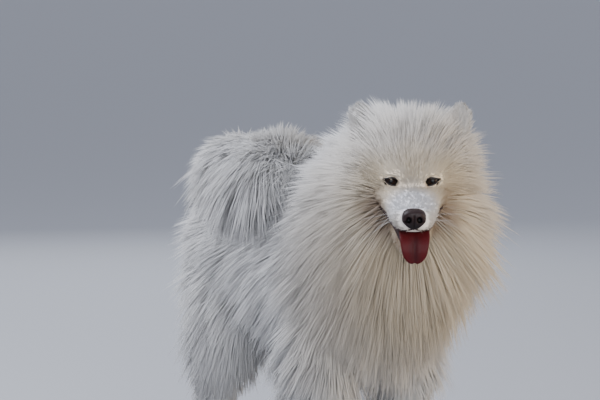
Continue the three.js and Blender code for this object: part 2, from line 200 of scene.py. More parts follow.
def read(items, title, width, kind=float):
    """One value of each item, as rows of an array."""
    values = np.empty(len(items) * width, kind)
    items.foreach_get(title, values)
    return values.reshape(-1, width)


def head_points(made):
    """The points of an object, in head-frame millimetres."""
    return head_local(read(made.data.vertices, "co", 3))


def move_points(made, local):
    """Put an object's points at new places of the head frame."""
    made.data.vertices.foreach_set("co", head_placed(local).ravel())
    made.data.update()


def baked(made, *modifiers):
    """The object's mesh with modifiers applied, each a kind and its settings."""
    for kind, settings in modifiers:
        modifier = made.modifiers.new(kind.lower(), kind)
        for title, value in settings.items():
            setattr(modifier, title, value)
    evaluated = made.evaluated_get(bpy.context.evaluated_depsgraph_get())
    data = bpy.data.meshes.new_from_object(evaluated)
    made.modifiers.clear()
    made.data = data
    return made


# %% [markdown]
# Shader maths reads best as plain sums. Channel wraps a socket, and its operators add the Math nodes.

# %% Shader tools


class Channel:
    """A socket, or a number, that can be added, multiplied and compared."""

    def __init__(self, shop, socket):
        self.shop = shop
        self.socket = socket

    def maths(self, operation, *others):
        values = [self.socket] + [o.socket if isinstance(o, Channel) else o for o in others]
        return self.shop.node("ShaderNodeMath", {"operation": operation}, values)

    def __add__(self, other):
        return self.maths("ADD", other)

    def __radd__(self, other):
        return self.maths("ADD", other)

    def __sub__(self, other):
        return self.maths("SUBTRACT", other)

    def __rsub__(self, other):
        return (self * -1).maths("ADD", other)

    def __mul__(self, other):
        return self.maths("MULTIPLY", other)

    def __rmul__(self, other):
        return self.maths("MULTIPLY", other)

    def clamp(self):
        return self.maths("MAXIMUM", 0.0).maths("MINIMUM", 1.0)


class Finish:
    """A material and the nodes that feed its shader."""

    def __init__(self, name, **constants):
        self.material = bpy.data.materials.new(name)
        self.material.use_nodes = True
        self.tree = self.material.node_tree
        self.shader = self.tree.nodes["Principled BSDF"]
        for title, value in constants.items():
            self.shader.inputs[title.replace("_", " ")].default_value = value

    def node(self, kind, settings=None, values=(), output=0):
        made = self.tree.nodes.new(kind)
        for title, value in (settings or {}).items():
            setattr(made, title, value)
        pairs = values.items() if isinstance(values, dict) else enumerate(values)
        for key, value in pairs:
            socket = value.socket if isinstance(value, Channel) else value
            if isinstance(socket, bpy.types.NodeSocket):
                self.tree.links.new(socket, made.inputs[key])
            elif socket is not None:
                made.inputs[key].default_value = socket
        return Channel(self, made.outputs[output])

    def place(self):
        return self.node("ShaderNodeTexCoord", output="Object")

    def noise(self, scale, detail=3.0, roughness=0.5):
        values = {"Vector": self.place(), "Scale": scale, "Detail": detail, "Roughness": roughness}
        return self.node("ShaderNodeTexNoise", None, values, "Fac")

    def attribute(self, name):
        return self.node("ShaderNodeAttribute", {"attribute_name": name}, (), "Fac")

    def near(self, centre, radius, softness):
        """1 within radius of a place, falling to 0 over softness, all in metres."""
        values = [self.place(), Vector(centre)]
        away = self.node("ShaderNodeVectorMath", {"operation": "DISTANCE"}, values, "Value")
        return (1 - (away - radius) * (1 / softness)).clamp()

    def blend(self, factor, first, second):
        """The first colour where the factor is 0 and the second where it is 1."""
        colours = {0: factor, 6: first, 7: second}
        return self.node("ShaderNodeMix", {"data_type": "RGBA"}, colours, 2)

    def feed(self, title, value):
        self.tree.links.new(value.socket, self.shader.inputs[title])

    def bump(self, height, strength, distance):
        values = {"Height": height, "Strength": strength, "Distance": distance}
        self.feed("Normal", self.node("ShaderNodeBump", None, values, "Normal"))


# %% [markdown]
# The floor is a pale sweep, so that a white dog still stands out from it. The light is soft: a large cool
# lamp at the upper left and behind, as an open sky gives, a low one in front for the chest, a warm one
# from the right, and one behind that keeps the far side from going dark. A lamp has a place, an aim, a
# size, a power and a colour.

# %% Floor and light
FLOOR_RADIUS = 120


def add_floor():
    mesh = bmesh.new()
    bmesh.ops.create_circle(mesh, cap_ends=True, segments=96, radius=FLOOR_RADIUS)
    floor = object_from("floor", mesh)
    paint = Finish("floor_paint", Base_Color=(0.33, 0.34, 0.36, 1), Roughness=0.9)
    floor.data.materials.append(paint.material)
    floor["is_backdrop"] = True


def add_lamp(name, place, target, size, power, colour):
    data = bpy.data.lights.new(name, "AREA")
    data.size = size
    data.energy = power
    data.color = colour
    lamp = bpy.data.objects.new(name, data)
    lamp.location = place
    lamp.rotation_euler = (Vector(target) - Vector(place)).to_track_quat("-Z", "Y").to_euler()
    bpy.context.collection.objects.link(lamp)


add_floor()
add_lamp("sky_lamp", (-1.6, 1.2, 2.8), (0, 0, 0.45), 2.4, 150, (0.88, 0.91, 1.0))
add_lamp("front_lamp", (-1.5, -3.7, 1.0), (0, -0.1, 0.4), 2.6, 98, (0.95, 0.97, 1.0))
add_lamp("warm_lamp", (2.2, -2.8, 0.8), (0, -0.2, 0.4), 2.4, 88, (1.0, 0.81, 0.57))
add_lamp("rear_lamp", (1.4, 3.4, 2.0), (0, 0, 0.45), 2.6, 55, (0.92, 0.95, 1.0))
world = bpy.data.worlds.new("studio")
world.use_nodes = True
world.node_tree.nodes["Background"].inputs["Color"].default_value = (0.62, 0.65, 0.76, 1)
world.node_tree.nodes["Background"].inputs["Strength"].default_value = 1.15
bpy.context.scene.world = world
print("lamps:", [item.name for item in bpy.data.lights])

# %% [markdown]
# A body is a few rounded forms. Each starts as a sphere from bmesh, and its points are moved onto a
# smooth spine: from pole to pole the sphere's latitude becomes the place along the spine, and its
# longitude the angle. A station gives a point of the spine and the half sizes there: to either side,
# above and below.

# %% Rounded forms


def smooth_at(values, t):
    """Values at shares t of a list of stations, on a curve through them."""
    values = np.asarray(values, float)
    place = np.clip(t, 0, 1) * (len(values) - 1)
    i = np.minimum(place.astype(int), len(values) - 2)
    f = (place - i)[:, None]
    before, a = values[np.maximum(i - 1, 0)], values[i]
    b, after = values[i + 1], values[np.minimum(i + 2, len(values) - 1)]
    cubic = 3 * (a - b) + after - before
    return a + 0.5 * f * (b - before + f * (2 * before - 5 * a + 4 * b - after + f * cubic))


def unit(vectors):
    return vectors / np.maximum(np.linalg.norm(vectors, axis=-1, keepdims=True), 1e-9)


class Form:
    """A rounded form on a spine: the cap is the share of its length in which an end closes."""

    def __init__(
        self, label, stations, reference=(0, 0, 1), cap=0.12, squareness=2.0, cup=0, head=False
    ):
        self.label = label
        self.stations = np.asarray(stations, float)
        self.reference = np.asarray(reference, float)
        self.cap = cap
        self.power = 2 / squareness
        self.cup = cup
        self.head = head

    def points(self, t, angle):
        """Surface points, in metres, for arrays of shares and angles."""
        station = smooth_at(self.stations, t)
        step = 0.01
        ahead = smooth_at(self.stations, np.minimum(t + step, 1))[:, :3]
        along = unit(ahead - smooth_at(self.stations, np.maximum(t - step, 0))[:, :3])
        across = unit(np.cross(along, self.reference))
        over = unit(np.cross(across, along))
        near = np.clip(np.minimum(t, 1 - t) / self.cap, 0, 1)
        rounding = np.sqrt(np.maximum(1 - (1 - near) ** 2, 0))
        wide = np.sign(np.cos(angle)) * np.abs(np.cos(angle)) ** self.power
        high = np.sign(np.sin(angle)) * np.abs(np.sin(angle)) ** self.power
        tall = np.where(high > 0, station[:, 4], station[:, 5]) * high
        hollow = np.sin(np.pi * np.clip(t * 0.9, 0, 1)) ** 0.5
        tall = tall + self.cup * np.maximum(-high, 0) ** 2 * hollow
        spot = station[:, :3] + across * (wide * station[:, 3] * rounding)[:, None]
        spot = spot + over * (tall * rounding)[:, None]
        return head_placed(spot) if self.head else placed(spot)

    def add_to(self, mesh, around=32, along=24):
        sphere = bmesh.ops.create_uvsphere(mesh, u_segments=around, v_segments=along, radius=1)
        made = sphere["verts"]
        unit_places = np.array([v.co[:] for v in made])
        polar = np.arccos(np.clip(unit_places[:, 2], -1, 1))
        angle = np.arctan2(unit_places[:, 1], unit_places[:, 0])
        for vertex, spot in zip(made, self.points((1 - np.cos(polar)) / 2, angle)):
            vertex.co = spot


# %% [markdown]
# The skin is the shape of a clipped dog, well inside the coat. The head is remeshed finely and the body
# more coarsely. The two shells pass into each other at the neck, deep under the ruff, where neither
# shows.

# %% Skin forms
BACK = (0, 1, 0)
FRONT = (0, -1, 0)
ALONG_NECK = (0, 0.857, 0.514)
TORSO = (
    (0, -232, 440, 62, 64, 74), (0, -165, 448, 92, 106, 114), (0, -75, 452, 102, 114, 122),
    (0, 40, 456, 100, 106, 110), (0, 145, 462, 98, 96, 88), (0, 238, 462, 94, 90, 82),
    (0, 316, 454, 58, 62, 64),
)
NECK = (
    (0, -88, 446, 84, 104, 102), (0, -148, 500, 92, 112, 112), (-5, -206, 552, 88, 98, 104),
    (-13, -254, 596, 74, 76, 86), (-20, -284, 630, 60, 54, 62),
)
TAIL = (
    (0, 262, 470, 26, 26, 26), (0, 286, 510, 25, 25, 25), (-4, 314, 556, 26, 26, 26),
    (-16, 300, 592, 30, 30, 30), (-30, 256, 606, 33, 33, 33), (-44, 186, 611, 38, 38, 38),
    (-54, 116, 613, 41, 41, 41), (-62, 52, 610, 42, 42, 42), (-66, -14, 602, 32, 32, 32),
)
FORELEG = (
    (54, -112, 440, 28, 42, 42), (70, -118, 372, 38, 46, 44), (78, -128, 300, 31, 35, 34),
    (82, -142, 215, 25, 27, 26), (84, -156, 125, 22, 23, 23), (84, -174, 60, 22, 21, 22),
    (84, -188, 20, 22, 20, 22),
)
HINDLEG = (
    (58, 196, 452, 46, 62, 72), (74, 178, 374, 44, 64, 74), (84, 184, 298, 35, 44, 50),
    (86, 208, 230, 26, 28, 31), (86, 234, 170, 21, 22, 26), (86, 226, 106, 20, 20, 21),
    (86, 204, 30, 21, 20, 21),
)
SKULL = (
    (0, -14, -3, 30, 15, 32), (0, 4, 2, 50, 29, 42), (0, 30, 7, 64, 44, 50),
    (0, 62, 10, 70, 52, 54), (0, 96, 6, 66, 48, 54), (0, 130, 0, 44, 34, 40),
)
MUZZLE = (
    (0, 18, -20, 52, 20, 22), (0, -8, -27, 48, 19, 22), (0, -34, -36, 42, 19, 23),
    (0, -58, -45, 36, 19, 24), (0, -92, -52, 26, 16, 19),
)
JAW = (
    (0, 34, -64, 38, 12, 16), (0, 5, -70, 35, 12, 16), (0, -22, -82, 29, 11, 15),
    (0, -46, -95, 22, 9, 12), (0, -64, -103, 15, 7, 8),
)
EAR = (
    (59, 60, 38, 26, 17, 17), (68, 62, 64, 22, 13, 14), (77, 64, 90, 18, 10, 11),
    (82, 65, 113, 14, 8, 8.5),
)


def on_side(stations, side):
    """Stations drawn for the left, kept there for side 1 and mirrored for side -1."""
    return [(side * x, *rest) for x, *rest in stations]


def body_forms():
    torso = Form("torso", TORSO, cap=0.13, squareness=2.2)
    neck = Form("neck", NECK, reference=ALONG_NECK, cap=0.16)
    return [torso, neck, Form("tail", TAIL, reference=(1, 0, 0))]


def leg_forms(side):
    fore = Form("foreleg", on_side(FORELEG, side), reference=FRONT, cap=0.08)
    hind = Form("hindleg", on_side(HINDLEG, side), reference=FRONT, cap=0.08)
    return [fore, hind]


def head_forms():
    skull = Form("skull", SKULL, cap=0.1, head=True)
    muzzle = Form("muzzle", MUZZLE, squareness=2.4, head=True)
    jaw = Form("jaw", JAW, squareness=2.3, head=True)
    cupped = {"reference": BACK, "cap": 0.26, "cup": 9, "head": True}
    return [skull, muzzle, jaw] + [Form("ear", on_side(EAR, side), **cupped) for side in (1, -1)]


PAW_SIDE = 85
FORE_TOES_Y = -234
HIND_TOES_Y = 148
TOES = ((-23, 12), (-8.5, 0), (8.5, 0), (23, 12))


def paw_forms(side, toe_y, heel_y):
    """The pad and four toes of a foot. A toe has a place across the foot and one behind the foremost."""
    x = side * PAW_SIDE
    middle = (toe_y + heel_y) / 2 + 4
    pad = [
        (x, middle - 38, 22, 20, 13, 20), (x, middle + 4, 23, 29, 22, 21),
        (x, middle + 38, 20, 18, 14, 18),
    ]
    forms = [Form("paw", pad, cap=0.4)]
    for across, behind in TOES:
        tip = toe_y + 2 + behind
        toe = [
            (x + across, tip, 14, 8, 9, 12), (x + across, tip + 16, 17, 9.5, 14, 14),
            (x + across, tip + 36, 18, 8, 10, 14),
        ]
        forms.append(Form("paw", toe, cap=0.4))
    return forms


head_parts = head_forms()
body_parts = body_forms()
for side in (1, -1):
    body_parts += leg_forms(side)
    body_parts += paw_forms(side, FORE_TOES_Y, -160)
    body_parts += paw_forms(side, HIND_TOES_Y, 228)
print("forms of the head and body:", len(head_parts), len(body_parts))

# %% [markdown]
# The forms are merged into two shells by a voxel remesh, and each shell is smoothed. The skin is pressed
# back round each eye, and the tree of the head's faces is kept from before that, to lay the lids on.

# %% Skin mesh
HEAD_VOXEL = 0.0026
BODY_VOXEL = 0.0052


def shell(name, forms, voxel, smoothing):
    mesh = bmesh.new()
    for form in forms:
        form.add_to(mesh)
    made = object_from(name, mesh)
    remesh = ("REMESH", {"mode": "VOXEL", "voxel_size": voxel})
    smooth = ("SMOOTH", {"factor": 0.5, "iterations": smoothing})
    return baked(made, remesh, smooth)


def socket_in(made, side):
    """Press the skin back round an eye, so that the ball lies in a hollow."""
    centre = np.array((side * EYE_APART / 2, EYE_DEPTH, 0))
    local = head_points(made)
    away = np.hypot((local[:, 0] - centre[0]) / 1.4, local[:, 2] - centre[2])
    press = np.clip(1 - (away / 10) ** 2, 0, 1) ** 0.7 * (local[:, 1] < centre[1] + 8)
    local[:, 1] += press * np.maximum(centre[1] + 6 - local[:, 1], 0)
    move_points(made, local)


head_skin = shell("head_skin", head_parts, HEAD_VOXEL, 6)
face_tree = BVHTree.FromObject(head_skin, bpy.context.evaluated_depsgraph_get())
for side in (1, -1):
    socket_in(head_skin, side)
body_skin = shell("body_skin", body_parts, BODY_VOXEL, 5)
mesh = bmesh.new()
mesh.from_mesh(head_skin.data)
mesh.from_mesh(body_skin.data)
bmesh.ops.triangulate(mesh, faces=mesh.faces)
skin = object_from("skin", mesh)
for spare in (head_skin, body_skin):
    bpy.data.objects.remove(spare)
skin.data.shade_smooth()
print("skin triangles:", len(skin.data.polygons))

# %% [markdown]
# The skin is unwrapped once. Every tuft later takes its colour patch from the place of its root there.

# %% Unwrap the skin
bpy.context.view_layer.objects.active = skin
skin.select_set(True)
bpy.ops.object.mode_set(mode="EDIT")
bpy.ops.mesh.select_all(action="SELECT")
bpy.ops.uv.smart_project(angle_limit=math.radians(66), island_margin=0.002)
bpy.ops.object.mode_set(mode="OBJECT")
skin.select_set(False)
skin.data.uv_layers[0].name = "Skin"

# %% [markdown]
# Combing. At each point of the skin the coat has a lie, a length in millimetres, a lift from the skin in
# degrees and a thickness of growth. Each part of the body has its own rule, and the rules are then
# averaged over neighbouring points, as a comb would, so that the ruff runs into the shoulder with no
# line.

# %% Skin arrays


class SkinArrays:
    """The skin's points and directions, its triangles and edges, and the places in both drawings."""

    def __init__(self, data):
        self.points = read(data.vertices, "co", 3)
        self.normals = read(data.vertices, "normal", 3)
        self.corners = read(data.loops, "vertex_index", 1, np.int32).reshape(-1, 3)
        self.uv = read(data.uv_layers[0].data, "uv", 2).reshape(-1, 3, 2)
        self.edges = read(data.edges, "vertices", 2, np.int32)
        a, b, c = (self.points[self.corners[:, k]] for k in range(3))
        self.areas = np.linalg.norm(np.cross(b - a, c - a), axis=1) / 2
        self.design = self.points / MM - np.array(OFFSET)
        self.head = head_local(self.points)
        self.side = np.abs(self.head[:, 0])
        self.top = np.clip(self.normals[:, 2], 0, 1)
        self.front = np.clip(-self.normals[:, 1], 0, 1)
        self.rear = np.clip(self.normals[:, 1], 0, 1)

    def averaged(self, values, rounds):
        """Values at the points, averaged with their neighbours' some rounds over."""
        values = np.asarray(values, float)
        flat = values.reshape(len(values), -1)
        first, second = self.edges.T
        degree = np.bincount(first, minlength=len(flat)) + np.bincount(second, minlength=len(flat))
        for _ in range(rounds):
            total = np.empty_like(flat)
            for k in range(flat.shape[1]):
                total[:, k] = np.bincount(first, flat[second, k], len(flat))
                total[:, k] += np.bincount(second, flat[first, k], len(flat))
            flat = 0.4 * flat + 0.6 * total / np.maximum(degree, 1)[:, None]
        return flat.reshape(values.shape)


surface = SkinArrays(skin.data)
print("skin area in square metres:", round(float(surface.areas.sum()), 2))

# %% [markdown]
# Each point of the skin takes the name of the form whose surface is nearest, so that a rule can be given
# by name.

# %% Label the skin by its nearest form


def labelled(forms, points):
    """For each point, the index of the form whose surface is nearest."""
    shares = np.linspace(0.02, 0.98, 30)
    t, angle = np.meshgrid(shares, np.linspace(0, 2 * np.pi, 28, endpoint=False))
    tree = KDTree(len(forms) * t.size)
    index = 0
    for form in forms:
        for spot in form.points(t.ravel(), angle.ravel()):
            tree.insert(spot, index)
            index += 1
    tree.balance()
    return np.array([tree.find(p)[1] // t.size for p in points])


all_parts = head_parts + body_parts
part_index = labelled(all_parts, surface.points)
labels = np.array([form.label for form in all_parts])[part_index]
print({name: int((labels == name).sum()) for name in sorted(set(labels))})

# %% [markdown]
# The rules. On the face the hair runs away from the nose, short on the muzzle and longer over the cheeks
# and crown. The ruff springs out round the face and falls down the chest. On the body the hair runs back
# and down. The tail carries the longest hair, and the lower legs and feet the shortest.

# %% Rules of the coat


def soft(value, low, high):
    """0 below low and 1 above high, with a smooth change between."""
    share = np.clip((value - low) / (high - low), 0, 1)
    return share * share * (3 - 2 * share)


def rows(x, y, z):
    """Directions from three columns, any of which may be one number."""
    return np.stack(np.broadcast_arrays(x, y, z), 1)


def comb_torso(s):
    lie = rows(0, 0.8, -0.75 + 0.5 * s.top)
    return lie, 86 - 12 * s.top - 34 * s.rear, 30 + 14 * s.top


def comb_neck(s):
    out = unit(s.design - np.array((-40, -300, 590)))
    near_head = soft(s.design[:, 2] - 0.5 * s.design[:, 1], 620, 720)
    down = -0.75 + 0.75 * s.top + 0.7 * near_head
    beside = near_head * (1 - s.top) * (1 - s.front)
    lie = out * 0.7 + rows(0, 0.3 + 0.5 * s.top - 0.5 * s.front, down)
    length = 98 + 22 * s.front + 26 * s.top - 24 * beside
    return lie, length, 32 + 26 * s.top + 20 * near_head


def comb_head(s):
    """Away from the nose, and shorter near the lids and along the upper lip."""
    x, y, z = s.head.T
    lie = unit(s.head - np.array((0, -100, -48))) @ np.array(HEAD_AXES).T
    crown = soft(y, 4, 40) * soft(z, 22, 48)
    cheek = soft(s.side, 34, 62) * soft(y, -2, 34) * (1 - soft(z, 24, 50))
    ear_root = np.exp(-(((s.side - 38) / 15) ** 2)) * soft(z, 28, 50) * soft(y, 20, 50)
    brow = 13 + 20 * soft(z, 10, 30)
    length = brow + (52 + 13 * soft(-x, 0, 34)) * crown + 56 * cheek + 26 * ear_root
    length = length * (0.5 + 0.5 * soft(np.hypot(s.side - EYE_APART / 2, z - 2), 12, 30))
    lift = 26 + 40 * crown + 22 * cheek + 10 * ear_root
    backward = soft(y, -40, 10)
    off_lids = soft(np.hypot((s.side - 29) / 1.7, z + 1), 9, 24)
    short = (9.5 + 20 * backward * soft(z, -56, -34)) * (0.3 + 0.7 * off_lids)
    muzzle = (labels == "muzzle") | ((labels == "jaw") & (y < -10))
    chin = (labels == "jaw") & (y > -10)
    length = np.select([muzzle, chin], [short, 46], length)
    return lie, length, np.select([muzzle, chin], [12 + 18 * backward, 34], lift)


def comb_ear(s):
    lie = rows(np.sign(s.head[:, 0]) * 0.3, 0.35, 1) @ np.array(HEAD_AXES).T
    return lie, 24 - 11 * soft(s.head[:, 2], 60, 105), 14


def comb_foreleg(s):
    shoulder = soft(s.design[:, 2], 250, 340)
    feather = s.rear * soft(s.design[:, 2], 60, 150)
    lie = rows(0, 0.15 + 0.4 * feather, -1)
    return lie, 30 + 52 * shoulder + 44 * feather, 26 + 12 * shoulder + 8 * feather


def comb_hindleg(s):
    thigh = soft(s.design[:, 2], 210, 340)
    breeches = s.rear * soft(s.design[:, 2], 110, 210)
    lie = rows(0, 0.3 + 0.2 * breeches, -1)
    return lie, 30 + 46 * thigh + 26 * breeches, 26 + 6 * thigh + 8 * breeches


def comb_paw(s):
    return (0, -0.7, -0.5), 17, 22


def comb_tail(s):
    """Over the tail from left to right, down at the root behind, and forwards and up at the tip."""
    right = np.clip(-s.normals[:, 0], 0, 1)
    behind = soft(s.design[:, 1], 230, 310)[:, None]
    along = unit(np.array((-0.2, -1, 0.05)) * (1 - behind) + np.array((0, 0.3, 1)) * behind)
    to_left = soft(s.normals[:, 0], 0.15, 0.55)[:, None]
    over = np.cross(along, s.normals) * (1 - 2 * to_left)
    at_tip = 1 - soft(s.design[:, 1], -10, 110)
    brush = at_tip[:, None] * np.array((0.1, -1.3, 0.9))
    lie = over + 0.35 * along * (1 - behind) - np.array((0, 0, 0.6)) * behind + brush
    trim = 1 - 0.34 * behind[:, 0] - 0.26 * s.top * (1 - at_tip)
    length = (94 + 28 * right + 10 * to_left[:, 0]) * trim
    return lie, length, 22 + 6 * s.top + 10 * at_tip


RULES = {
    "torso": comb_torso,
    "neck": comb_neck,
    "skull": comb_head,
    "muzzle": comb_head,
    "jaw": comb_head,
    "ear": comb_ear,
    "foreleg": comb_foreleg,
    "hindleg": comb_hindleg,
    "paw": comb_paw,
    "tail": comb_tail,
}


def combed(s):
    """The lie, length and lift of the coat at every point of the skin."""
    fields = np.zeros_like(s.points), np.zeros(len(s.points)), np.zeros(len(s.points))
    for name, rule in RULES.items():
        here = labels == name
        for field, values in zip(fields, rule(s)):
            field[here] = np.broadcast_to(values, field.shape)[here]
    return fields


lie, length, lift = combed(surface)
lie = lie - surface.normals * (lie * surface.normals).sum(1, keepdims=True)
lie = unit(surface.averaged(unit(lie), 16))
length = np.exp(surface.averaged(np.log(length), 14))
lift = surface.averaged(lift, 14)
print("coat length in mm:", round(float(length.min())), "to", round(float(length.max())))

# %% [markdown]
# A tuft is a thin three-sided spike that bends with the lie and under its weight. Its tip is drawn
# towards the tip of the clump that it belongs to, because long hair gathers into locks. All the tufts of
# a piece are made at once as arrays: the rings of every tuft, at the shares of its length in RINGS, then
# one tip each. Their directions lean towards the skin's, by SMOOTHNESS, so that the coat is lit as one
# soft body.

# %% Tufts
PATCH = 0.003
FLOOR_GAP = 0.0012
SMOOTHNESS = 0.78
RINGS = (0.0, 0.52)
FLATNESS = 0.45
SAG = 0.26
HUG = 0.08


class Roots:
    """Places on the skin where tufts grow, drawn at random by area."""

    def __init__(self, weight, count, seed):
        random = np.random.default_rng(seed)
        chance = surface.areas * weight[surface.corners].mean(1)
        keep = random.choice(len(chance), count, p=chance / chance.sum())
        share = random.dirichlet((1, 1, 1), count)
        corners = surface.corners[keep]
        self.random = random
        self.count = count

        def at(values):
            return (values[corners] * share.reshape((count, 3) + (1,) * (values.ndim - 1))).sum(1)

        self.point = at(surface.points)
        self.normal = unit(at(surface.normals))
        self.lie = at(lie)
        self.length = at(length) * MM
        self.lift = np.radians(at(lift))
        self.uv = (surface.uv[keep] * share[:, :, None]).sum(1)


def clump_of(roots, share):
    """For each root, the number of the root in the middle of its clump."""
    middles = roots.random.choice(roots.count, max(int(roots.count * share), 1), replace=False)
    tree = KDTree(len(middles))
    for number, index in enumerate(middles):
        tree.insert(roots.point[index], number)
    tree.balance()
    return middles[[tree.find(point)[1] for point in roots.point]]


def coat_piece(
    name, weight, count, seed, width, clump_share=0.05, gather=0.2, wild=0.1, upright=0, trim=1
):
    """One piece of the coat, grown where the weight is. The width is in millimetres."""
    roots = Roots(weight, count, seed)
    random = roots.random
    clump = clump_of(roots, clump_share)
    turn = random.normal(0, wild, count)[clump] * 1.6 + random.normal(0, wild, count)
    rise = random.normal(0, 0.09, count)[clump] + random.normal(0, 0.08, count)
    stretch = np.clip(random.normal(1, 0.1, count)[clump] * random.normal(1, 0.12, count), 0.6, 1.3)
    normal = roots.normal
    flat = unit(roots.lie - normal * (roots.lie * normal).sum(1, keepdims=True))
    aside = np.cross(normal, flat)
    flat = flat * np.cos(turn)[:, None] + aside * np.sin(turn)[:, None]
    raised = (roots.lift + rise + upright)[:, None]
    direction = flat * np.cos(raised) + normal * np.sin(raised)
    long = (roots.length * stretch * trim)[:, None]
    bend = np.array((0, 0, -1.0)) * np.clip(long / 0.1, 0, 1.2) * SAG - normal * HUG
    start = roots.point - normal * (0.0003 + 0.02 * long)

    def path(s):
        return start + direction * long * s + bend * long * s * s

    def drawn(s):
        own = path(s)
        shared = own[clump] + (roots.point - roots.point[clump]) * (1 - gather)
        pull = gather * s**1.7
        return own * (1 - pull) + shared * pull

    spin = random.uniform(-0.7, 0.7, count)[:, None]
    wide = (width * MM * random.uniform(0.7, 1.25, count))[:, None]
    layers = []
    facing = []
    for s in RINGS:
        middle = drawn(s)
        ahead = unit(drawn(s + 0.06) - middle)
        across = unit(np.cross(ahead, normal))
        over = np.cross(across, ahead)
        across = across * np.cos(spin) + over * np.sin(spin)
        over = np.cross(across, ahead)
        taper = 0.62 + 0.38 * math.sin(math.pi * min(s + 0.22, 1)) - 0.25 * s
        for corner in range(3):
            angle = math.radians(90 + 120 * corner)
            offset = across * math.cos(angle) + over * (math.sin(angle) * FLATNESS)
            layers.append(middle + offset * wide * (0.5 * taper))
            facing.append(normal * SMOOTHNESS + unit(offset) * (1 - SMOOTHNESS))
    layers.append(drawn(1.0))
    facing.append(normal)
    vertices = np.stack(layers, 1)
    height = vertices[:, :, 2]
    vertices[:, :, 2] = np.maximum(height, FLOOR_GAP + 0.1 * np.minimum(height, 0))
    return tuft_object(name, roots, vertices, unit(np.stack(facing, 1)))


def tuft_object(name, roots, vertices, normals):
    """The mesh of all the tufts, with their patches of colour, shares of length and tones."""
    count, size = vertices.shape[:2]
    tip = np.array([s for s in RINGS for _ in range(3)] + [1.0])
    faces = [(0, 1, 2)]
    for ring in range(len(RINGS) - 1):
        for k in range(3):
            a, b = ring * 3 + k, ring * 3 + (k + 1) % 3
            faces += [(b, a, a + 3), (b, a + 3, b + 3)]
    last = (len(RINGS) - 1) * 3
    faces += [(last + (k + 1) % 3, last + k, size - 1) for k in range(3)]
    faces = np.array(faces)
    corners = (faces[None] + (np.arange(count) * size)[:, None, None]).reshape(-1)
    data = bpy.data.meshes.new(name)
    data.vertices.add(count * size)
    data.vertices.foreach_set("co", vertices.ravel())
    data.loops.add(len(corners))
    data.loops.foreach_set("vertex_index", corners)
    data.polygons.add(len(corners) // 3)
    data.polygons.foreach_set("loop_start", np.arange(0, len(corners), 3))
    data.update(calc_edges=True)
    uv = data.uv_layers.new(name="OFBake")
    spread = np.stack([(np.arange(size) % 3) / 3 - 0.33, tip - 0.5], 1) * PATCH
    places = np.clip(roots.uv[:, None] + spread[None], 0.001, 0.999).reshape(-1, 2)
    uv.data.foreach_set("uv", places[corners].ravel())
    shade = data.attributes.new("tip", "FLOAT", "POINT")
    shade.data.foreach_set("value", np.tile(tip, count))
    tone = data.attributes.new("tone", "FLOAT", "POINT")
    tone.data.foreach_set("value", np.repeat(roots.random.uniform(0, 1, count), size))
    data.shade_smooth()
    data.normals_split_custom_set_from_vertices(normals.reshape(-1, 3))
    made = bpy.data.objects.new(name, data)
    bpy.context.collection.objects.link(made)
    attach(made, "root")
    say(made)
    return made


# %% [markdown]
# Colour. The coat is white. The cream chest and the biscuit brow and cheeks are partly the coat's biscuit
# colour and partly painted warm shade, the darker, cooler muzzle is painted shade, and there are rust
# stains at the corners of the mouth. Skin and coat share these marks, so that no bare patch shows. A mark
# has a place in the head frame, a radius and a softness in metres, a strength and a colour.

# %% Coat and skin finish
TRANSLUCENCY = 0.54
SOCKET_SHADE_RADIUS = 0.0119
WHITE = (0.93, 0.925, 0.92, 1)
# the biscuit and cream below are partly the coat's own biscuit colour and partly painted warm shade
BISCUIT_AND_WARM_SHADE = (0.76, 0.60, 0.36, 1)
CREAM_AND_WARM_SHADE = (0.91, 0.73, 0.48, 1)
# painted shade: the muzzle is darker and cooler, as it lies in shade
PAINTED_MUZZLE_SHADE = (0.67, 0.685, 0.73, 1)
RUST = (0.23, 0.12, 0.05, 1)
BLACK = (0.012, 0.009, 0.009, 1)
MARKS = (
    # chest cream and brow biscuit: the coat's colour with painted warm shade
    ((40, -20, -180), 0.11, 0.24, 0.95, CREAM_AND_WARM_SHADE),
    ((0, 0, 26), 0.014, 0.036, 0.55, BISCUIT_AND_WARM_SHADE),
    # the muzzle's painted shade
    ((0, -54, -34), 0.03, 0.028, 0.9, PAINTED_MUZZLE_SHADE),
)
MARKS_EACH_SIDE = (
    # cheeks: biscuit colour with painted warm shade
    ((60, 6, 14), 0.008, 0.042, 0.65, BISCUIT_AND_WARM_SHADE),
    ((68, 14, -34), 0.014, 0.06, 0.55, BISCUIT_AND_WARM_SHADE),
    ((60, 12, -44), 0.008, 0.034, 0.9, RUST),
    ((44, -4, -66), 0.012, 0.034, 0.8, RUST),
    ((23, -8, -6), 0.001, 0.011, 0.45, RUST),
    ((24, -48, -90), 0.012, 0.016, 0.8, RUST),
)


def coat_colour(finish):
    marks = list(MARKS)
    for side in (1, -1):
        marks += [((side * x, y, z), *rest) for (x, y, z), *rest in MARKS_EACH_SIDE]
    colour = WHITE
    for place, radius, softness, strength, tint in marks:
        mask = finish.near(head_spot(*place), radius, softness) * strength
        colour = finish.blend(mask, colour, tint)
    return colour


